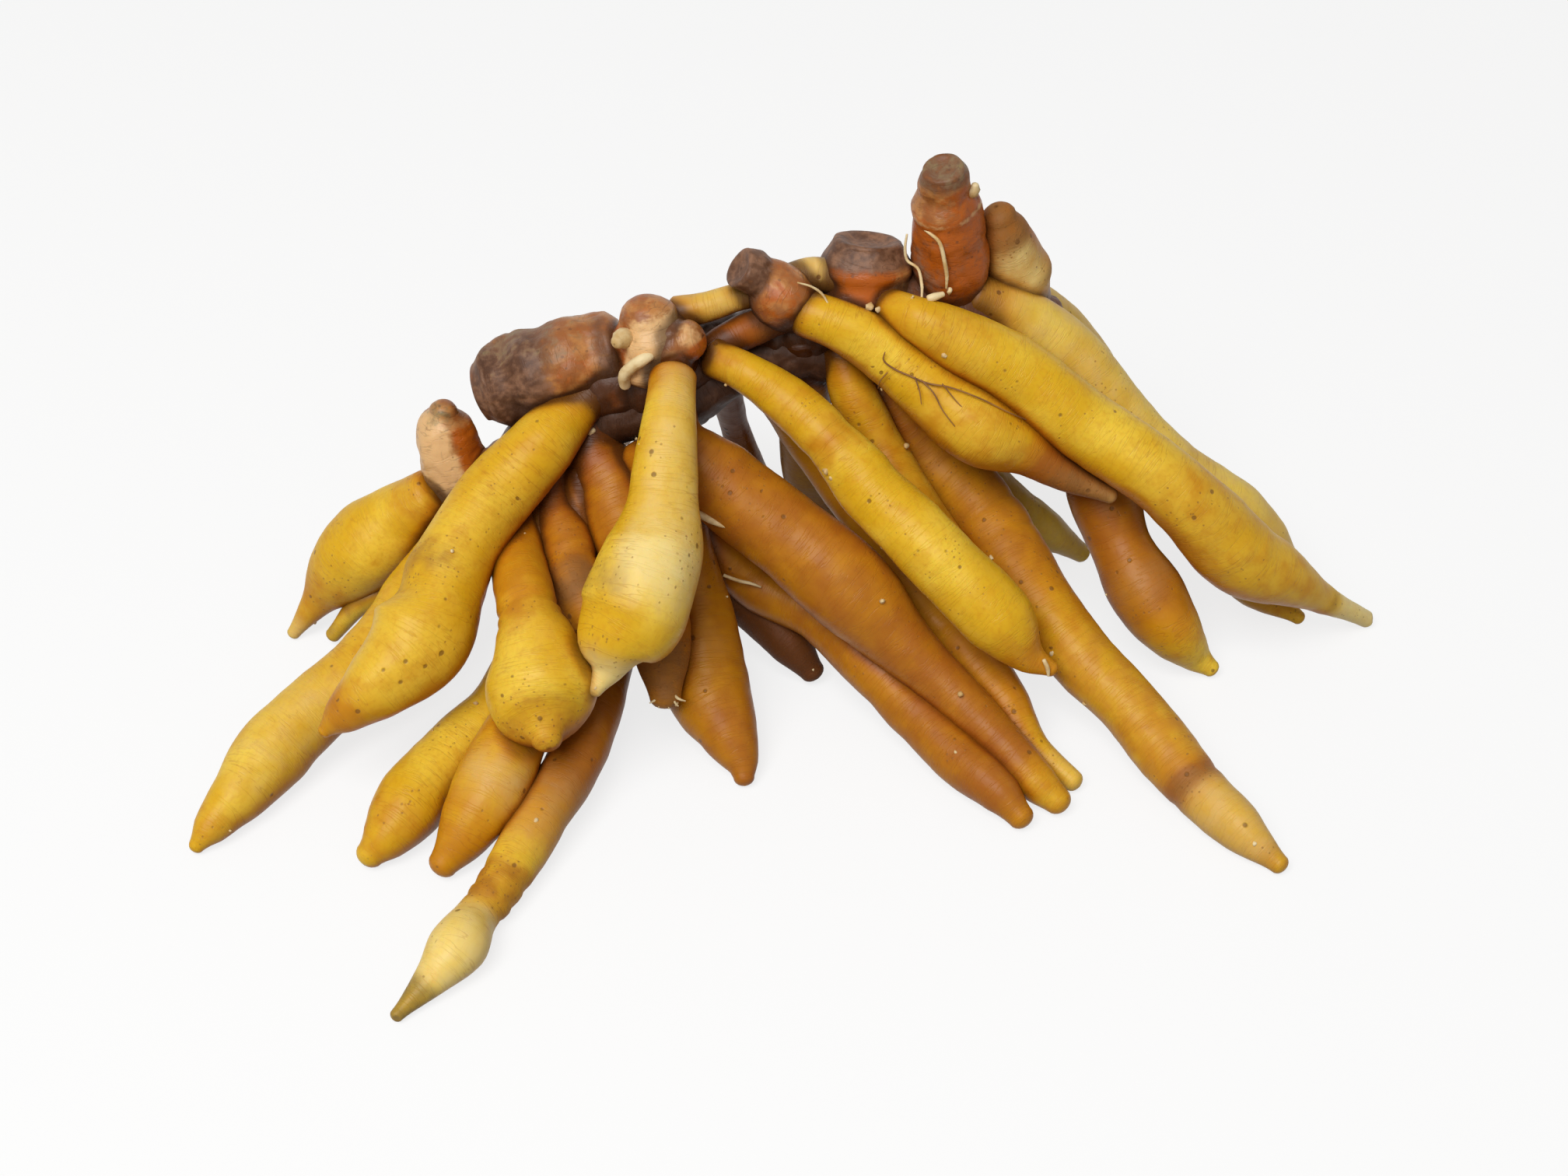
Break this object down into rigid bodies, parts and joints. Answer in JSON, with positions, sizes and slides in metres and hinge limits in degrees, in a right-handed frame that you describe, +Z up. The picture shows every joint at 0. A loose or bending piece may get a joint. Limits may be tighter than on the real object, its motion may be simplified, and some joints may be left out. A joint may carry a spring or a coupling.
{
  "type": "fingerroot rhizome",
  "caption": "Fresh clump of fingerroot: long tapering storage roots splaying out and down from a short knobbly crown with bud heads.",
  "frame": {"origin": "on the surface that the clump rests on, under the middle of its outline", "axes": "+Z up, +X along the crown towards the tall bud's end, -Y towards the side where most of the fingers reach forward"},
  "size_m": [0.1765, 0.1315, 0.0754],
  "materials": {
    "finger_skin": "smooth waxy golden root skin, faintly ringed and speckled",
    "crown_bark": "satin brown bark with grey scars and pink-tan patches",
    "rootlet": "matte pale rootlets, hairs and crumbs of skin"
  },
  "bodies": {
    "root": {"rhizome": "finger_skin"}
  },
  "joints": []
}
